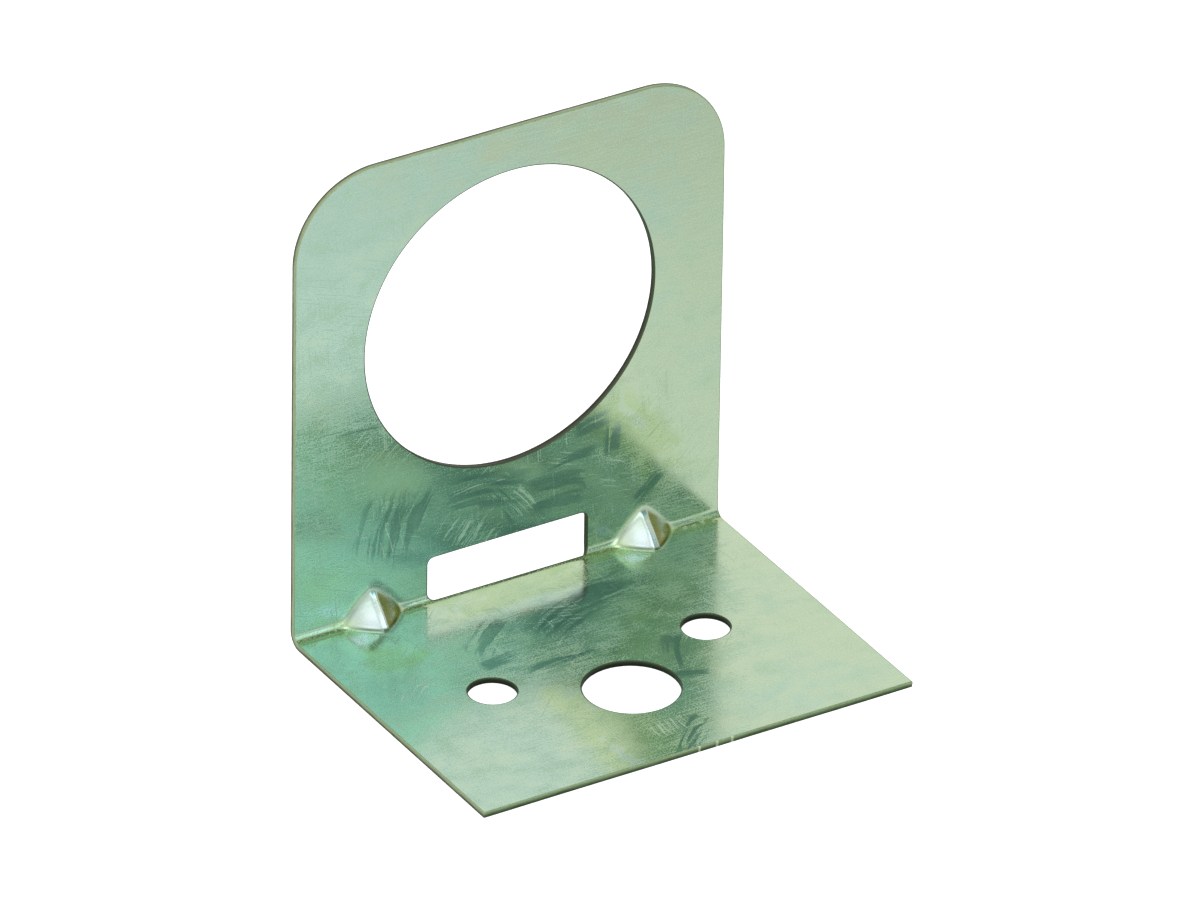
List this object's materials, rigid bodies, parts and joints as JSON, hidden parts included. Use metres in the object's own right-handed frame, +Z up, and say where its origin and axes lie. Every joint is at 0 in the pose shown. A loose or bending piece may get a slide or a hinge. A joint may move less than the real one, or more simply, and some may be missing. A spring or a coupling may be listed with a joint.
{
  "type": "stamped metal bracket",
  "caption": "Folded sheet-metal angle bracket: round-cornered wall with a large port, a slot at the fold, pressed gussets, drilled base.",
  "frame": {"origin": "centre of the footprint, on the underside of the base", "axes": "+X along the fold, +Y from the base's front edge to the back of the wall, +Z up the wall"},
  "size_m": [0.08, 0.061, 0.085],
  "materials": {
    "zinc_plated_sheet": "bright zinc plating with a pale green passivation tint, semi-gloss, wiped and scuffed"
  },
  "bodies": {
    "root": {"bracket": "zinc_plated_sheet"}
  },
  "joints": []
}
